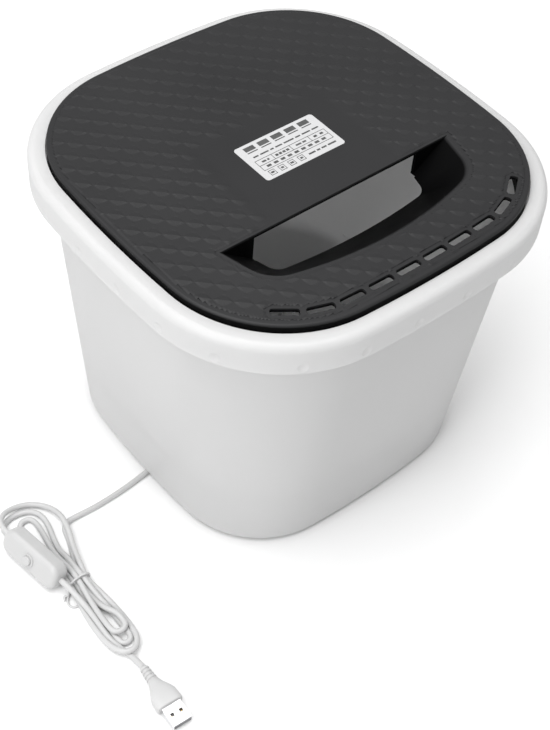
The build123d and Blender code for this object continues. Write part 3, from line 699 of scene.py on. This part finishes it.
def metal(name, first, second, rough, stretch=(1, 1, 14)):
    """Brushed or drawn metal: streaks that change its colour and gloss."""
    material, tree, shader, place = new_material(name)
    streaks = add_noise(tree, place, 160.0, 4.0, stretch)
    tree.links.new(add_colours(tree, streaks, first, second), shader.inputs["Base Color"])
    tree.links.new(add_range(tree, streaks, *rough), shader.inputs["Roughness"])
    add_bump(tree, shader, streaks, 0.1, 0.02 * MM)
    shader.inputs["Metallic"].default_value = 1.0
    return material


def paper(name, first, second):
    """Silvered label stock: fine fibre speckle and a satin face."""
    material, tree, shader, place = new_material(name)
    speckle = add_noise(tree, place, 2600.0, 2.0)
    tree.links.new(add_colours(tree, speckle, first, second), shader.inputs["Base Color"])
    tree.links.new(add_range(tree, add_noise(tree, place, 300.0), 0.38, 0.5), shader.inputs["Roughness"])
    add_bump(tree, shader, speckle, 0.2, 0.02 * MM)
    return material


def neutral(tone):
    """A colour without hue."""
    return (tone, tone, tone)


LIGHT_THROUGH = 0.36
SHADE_FOOT, SHADE_HEAD = 0.2105, 0.2117   # heights between which painted shade darkens the lid's recesses
# share of the colour and sheen left in the deepest painted shade
RECESS_SHADE_SHARE = 0.12
LID_SHEEN = 0.3

white = moulded("white_polypropylene", neutral(0.74), neutral(0.77), (0.34, 0.44), bump=0.08)
let_light_through(white, neutral(0.85), LIGHT_THROUGH)
dark = moulded(
    "dark_polypropylene", (0.015, 0.015, 0.016), (0.020, 0.020, 0.021), (0.45, 0.55),
    grain=1500.0, bump=0.2,
)
# painted shade: the lid's colour and sheen are scaled down in its recesses, below its top
paint_recess_shade(dark, SHADE_FOOT, SHADE_HEAD, RECESS_SHADE_SHARE, LID_SHEEN)
pvc = moulded(
    "white_pvc", neutral(0.50), neutral(0.55), (0.4, 0.52),
    grain=1800.0, bump=0.2, cloud=40.0,
)
switch_white = moulded(
    "switch_plastic", neutral(0.48), neutral(0.52), (0.32, 0.42),
    grain=1400.0, bump=0.12, cloud=30.0,
)
rubber = moulded(
    "grey_rubber", neutral(0.09), neutral(0.14), (0.7, 0.85),
    grain=1200.0, bump=0.4, cloud=60.0,
)
board_green = moulded(
    "board_laminate", (0.02, 0.12, 0.05), (0.03, 0.17, 0.07), (0.3, 0.4),
    grain=700.0, bump=0.15, cloud=80.0,
)
black_part = moulded(
    "black_moulding", (0.015, 0.015, 0.016), neutral(0.03), (0.4, 0.55),
    grain=1600.0, bump=0.2, cloud=90.0,
)
grey = moulded(
    "grey_plastic", (0.32, 0.32, 0.33), (0.38, 0.38, 0.39), (0.4, 0.5),
    grain=1200.0, bump=0.15, cloud=40.0,
)
magnet = moulded(
    "ferrite", (0.05, 0.048, 0.046), (0.08, 0.077, 0.074), (0.6, 0.75),
    grain=900.0, bump=0.5, cloud=70.0,
)
ink = moulded(
    "label_ink", neutral(0.05), neutral(0.09), (0.5, 0.6),
    grain=3000.0, bump=0.1, cloud=200.0,
)
label_stock = paper("label_stock", (0.50, 0.50, 0.505), (0.58, 0.58, 0.585))
steel = metal("plated_steel", (0.62, 0.62, 0.63), (0.78, 0.78, 0.79), (0.16, 0.28))
bronze = metal("sintered_bronze", (0.55, 0.36, 0.18), (0.66, 0.45, 0.24), (0.35, 0.5))
copper = metal("drawn_copper", (0.75, 0.35, 0.2), (0.85, 0.43, 0.27), (0.22, 0.36))
gold = metal("gilt_contact", (0.85, 0.62, 0.25), (0.92, 0.7, 0.32), (0.2, 0.3))

BY_SLOT = {
    "white_plastic": white,
    "dark_plastic": dark,
    "label": label_stock,
    "rubber": rubber,
    "steel": steel,
    "bronze": bronze,
    "magnet": magnet,
    "copper": copper,
    "board": board_green,
    "black_part": black_part,
    "cord_pvc": pvc,
    "grey_plastic": grey,
}
SPECIAL = {
    "switch_cover": switch_white,
    "switch_base": switch_white,
    "switch_button": switch_white,
    "plug_contact_1": gold,
    "plug_contact_2": gold,
    "plug_contact_3": gold,
    "plug_contact_4": gold,
}


def paint(obj, material):
    """Give an object this one material."""
    obj.data.materials.clear()
    obj.data.materials.append(material)


node_slots = {entry["node"]: entry["material_slot"] for entry in frame["record"]["subparts"]}
for name, node in nodes.items():
    paint(node, SPECIAL.get(name, BY_SLOT[node_slots[name]]))

# ---------------------------------------------------------------- riding and replacing
for piece, body, slot, material in (
    (supply_cord, "root", "cord_pvc", pvc),
    (plug_cord, "root", "cord_pvc", pvc),
    (wire_tie, "root", "cord_pvc", pvc),
    (plug_boot, "root", "cord_pvc", pvc),
    (lid_weave, "lid_body", "dark_plastic", dark),
    (label_print, "lid_body", "label", ink),
):
    paint(piece, material)
    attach(piece, body)

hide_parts("cord_lead", "cord_hank")
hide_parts("cord_plug_lead", "cord_hank")
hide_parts("wire_tie")
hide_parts("plug_boot")

switch_names = ["switch_cover", "switch_base", "switch_button", "switch_dome"]
switch_names += ["switch_contact_1", "switch_contact_2"]
plug_pieces = [plug_boot, nodes["plug_shell"], nodes["plug_tongue"]]
plug_pieces += [nodes[f"plug_contact_{index}"] for index in range(1, 5)]

# ---------------------------------------------------------------- floor and light
FLOOR_HALF = 4.0
LIGHT_TARGET = (0, 0, 0.1)
WORLD_STRENGTH = 0.52


def make_floor():
    """Plain pale floor under the feet."""
    material, tree, shader, place = new_material("pale_floor")
    tone = add_colours(tree, add_noise(tree, place, 1.5), neutral(0.90), neutral(0.92))
    tree.links.new(tone, shader.inputs["Base Color"])
    shader.inputs["Roughness"].default_value = 0.9
    signs = ((-1, -1), (1, -1), (1, 1), (-1, 1))
    floor = mesh_object("floor", [(x * FLOOR_HALF, y * FLOOR_HALF, 0) for x, y in signs], [(0, 1, 2, 3)])
    paint(floor, material)


def area_light(name, place, size, power):
    """A square softbox that looks at the object."""
    light = bpy.data.lights.new(name, "AREA")
    light.shape = "SQUARE"
    light.size = size
    light.energy = power
    obj = link(bpy.data.objects.new(name, light))
    obj.location = place
    obj.rotation_euler = (Vector(LIGHT_TARGET) - Vector(place)).to_track_quat("-Z", "Y").to_euler()


make_floor()
area_light("top_light", (-0.3, 0.1, 2.0), size=1.8, power=36)
area_light("key_light", (-1.5, -0.3, 1.1), size=1.0, power=13)
world = bpy.data.worlds.new("studio")
bpy.context.scene.world = world
world.use_nodes = True
background = world.node_tree.nodes["Background"]
background.inputs["Color"].default_value = (1, 1, 1, 1)
background.inputs["Strength"].default_value = WORLD_STRENGTH
bpy.context.scene.view_settings.view_transform = "Standard"
